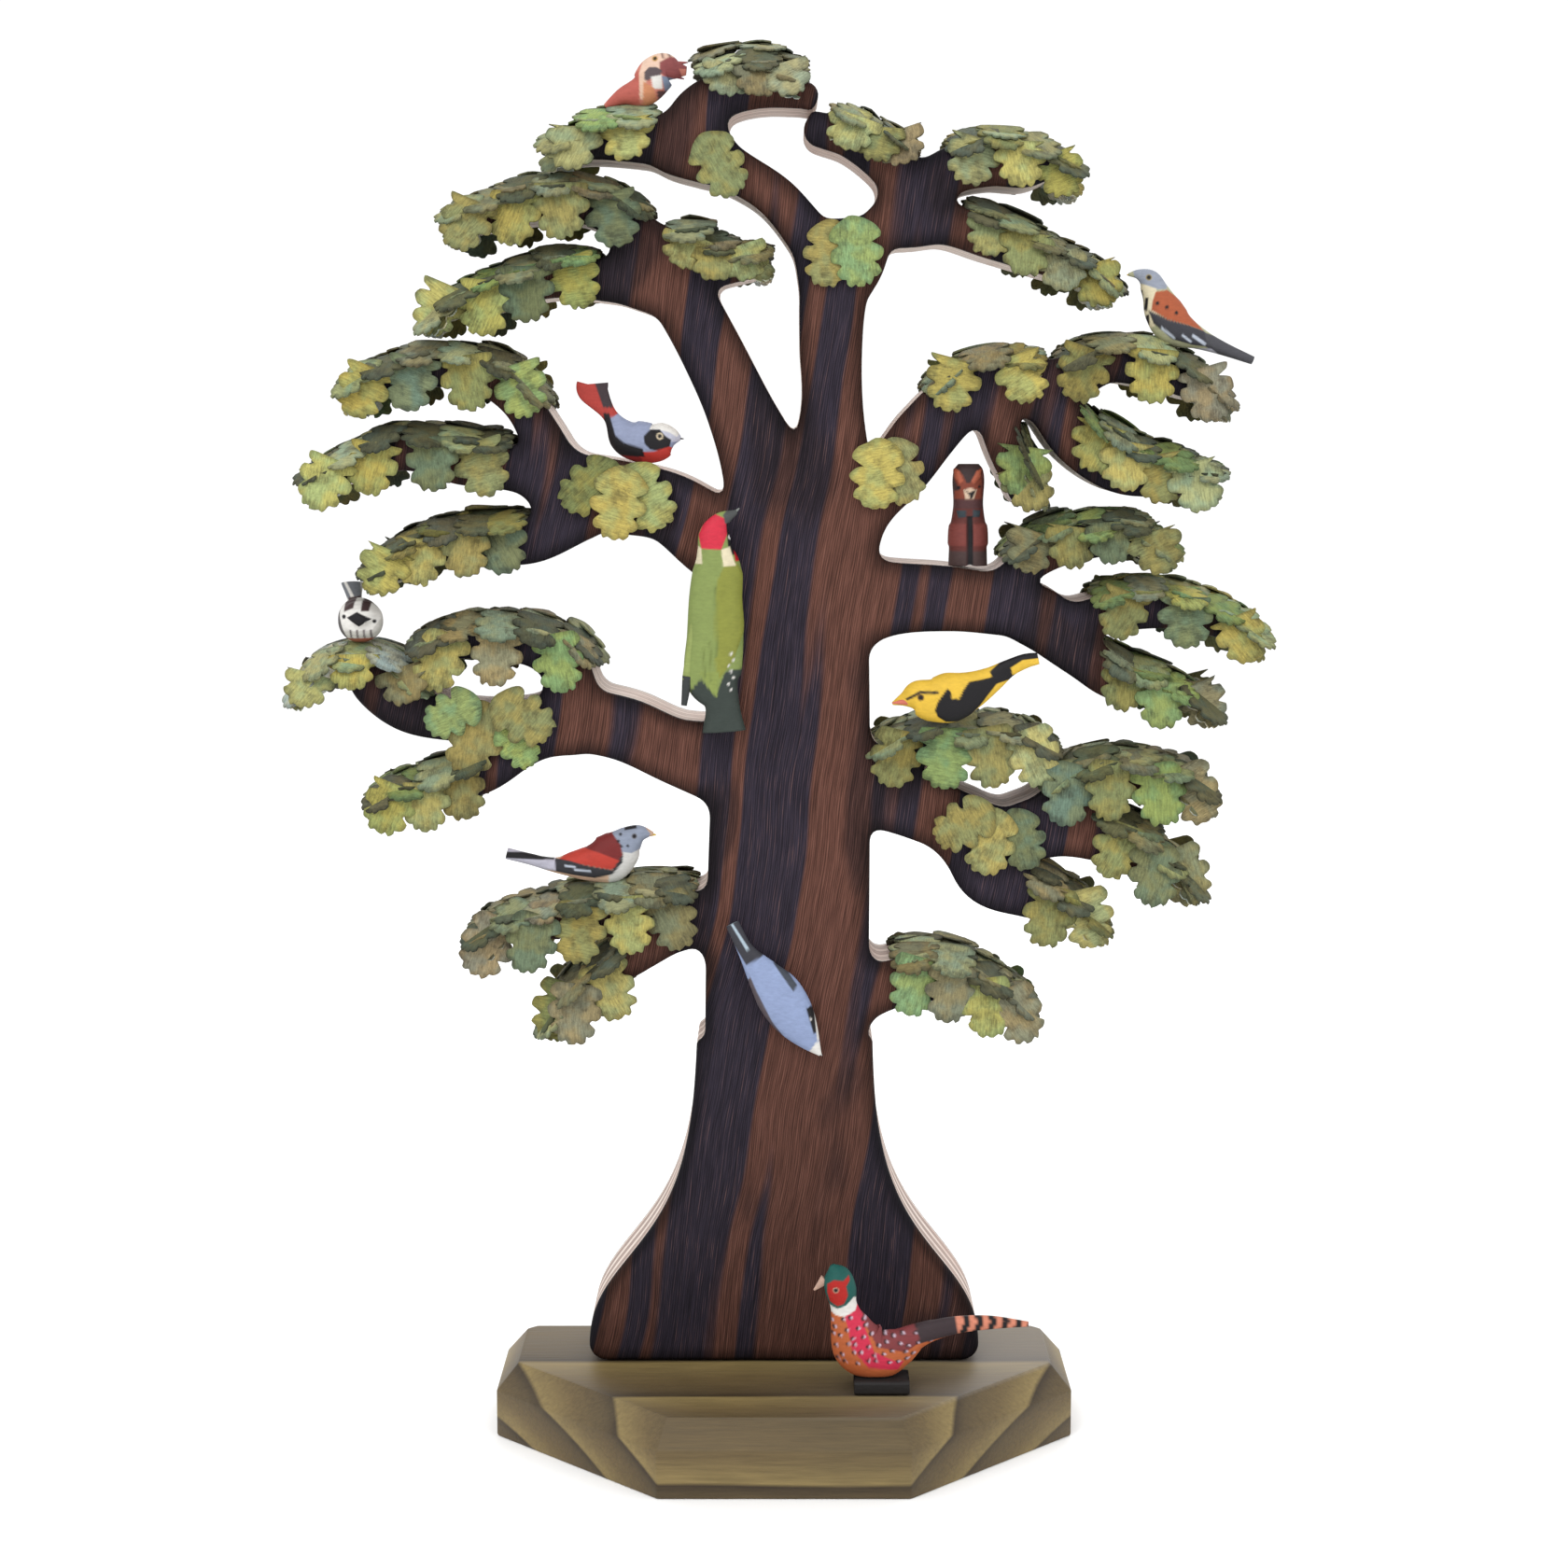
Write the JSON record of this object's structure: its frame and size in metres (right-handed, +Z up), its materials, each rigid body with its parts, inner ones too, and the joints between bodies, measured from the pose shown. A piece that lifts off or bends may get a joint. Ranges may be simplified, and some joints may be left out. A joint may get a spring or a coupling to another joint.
{
  "type": "bird tree carving",
  "caption": "Sawn laminated tree on a chamfered plinth, with stained veneer leaves on its limbs and small painted birds and a squirrel perched in it.",
  "frame": {"origin": "middle of the plinth's underside", "axes": "+Z up, +X to the right across the tree's spread, +Y from the front towards the back"},
  "size_m": [0.2864, 0.094, 0.4054],
  "materials": {
    "plinth": "olive-khaki stain with the ring grain showing",
    "tree": "dark reddish brown stain over combed grain, pale plywood layers on the edges",
    "olive_leaf": "stained veneer, semi-matt",
    "lime_leaf": "stained veneer, semi-matt",
    "moss_leaf": "stained veneer, semi-matt",
    "sage_leaf": "stained veneer, semi-matt",
    "grey_leaf": "stained veneer, semi-matt",
    "jay": "carved wood with thin hand-painted colours under a satin varnish",
    "fieldfare": "carved wood with thin hand-painted colours under a satin varnish",
    "redstart": "carved wood with thin hand-painted colours under a satin varnish",
    "tit": "carved wood with thin hand-painted colours under a satin varnish",
    "golden_oriole": "carved wood with thin hand-painted colours under a satin varnish",
    "linnet": "carved wood with thin hand-painted colours under a satin varnish",
    "green_woodpecker": "carved wood with thin hand-painted colours under a satin varnish",
    "nuthatch": "carved wood with thin hand-painted colours under a satin varnish",
    "pheasant": "carved wood with thin hand-painted colours under a satin varnish",
    "squirrel": "carved wood with thin hand-painted colours under a satin varnish"
  },
  "bodies": {
    "root": {"plinth": "plinth", "tree": "tree", "spray_crown": "olive_leaf", "spray_jay_perch": "lime_leaf", "spray_crown_right": "moss_leaf", "spray_ear": "sage_leaf", "spray_arm_right": "grey_leaf", "spray_arm_left": "olive_leaf", "spray_elbow_left": "lime_leaf", "spray_knob": "moss_leaf", "spray_mid_left_top": "sage_leaf", "spray_mid_left_mid": "grey_leaf", "spray_mid_left_low": "olive_leaf", "spray_tit_perch": "lime_leaf", "spray_low_left_top": "moss_leaf", "spray_low_left_down": "sage_leaf", "spray_linnet_perch": "grey_leaf", "spray_foot_left_down": "olive_leaf", "spray_high_right": "lime_leaf", "spray_fieldfare_perch": "moss_leaf", "spray_high_right_drop": "sage_leaf", "spray_high_right_low": "grey_leaf", "spray_mid_right_top": "olive_leaf", "spray_mid_right": "lime_leaf", "spray_mid_right_low": "moss_leaf", "spray_oriole_perch": "sage_leaf", "spray_low_right": "grey_leaf", "spray_low_right_mid": "olive_leaf", "spray_low_right_down": "lime_leaf", "spray_foot_right": "moss_leaf", "leaves_bow": "lime_leaf", "leaves_fork": "moss_leaf", "leaves_mid_left": "sage_leaf", "leaves_low_left": "grey_leaf", "leaves_high_right": "olive_leaf", "leaves_low_right": "lime_leaf", "jay": "jay", "fieldfare": "fieldfare", "redstart": "redstart", "tit": "tit", "golden_oriole": "golden_oriole", "linnet": "linnet", "green_woodpecker": "green_woodpecker", "nuthatch": "nuthatch", "pheasant": "pheasant", "squirrel": "squirrel"}
  },
  "joints": []
}
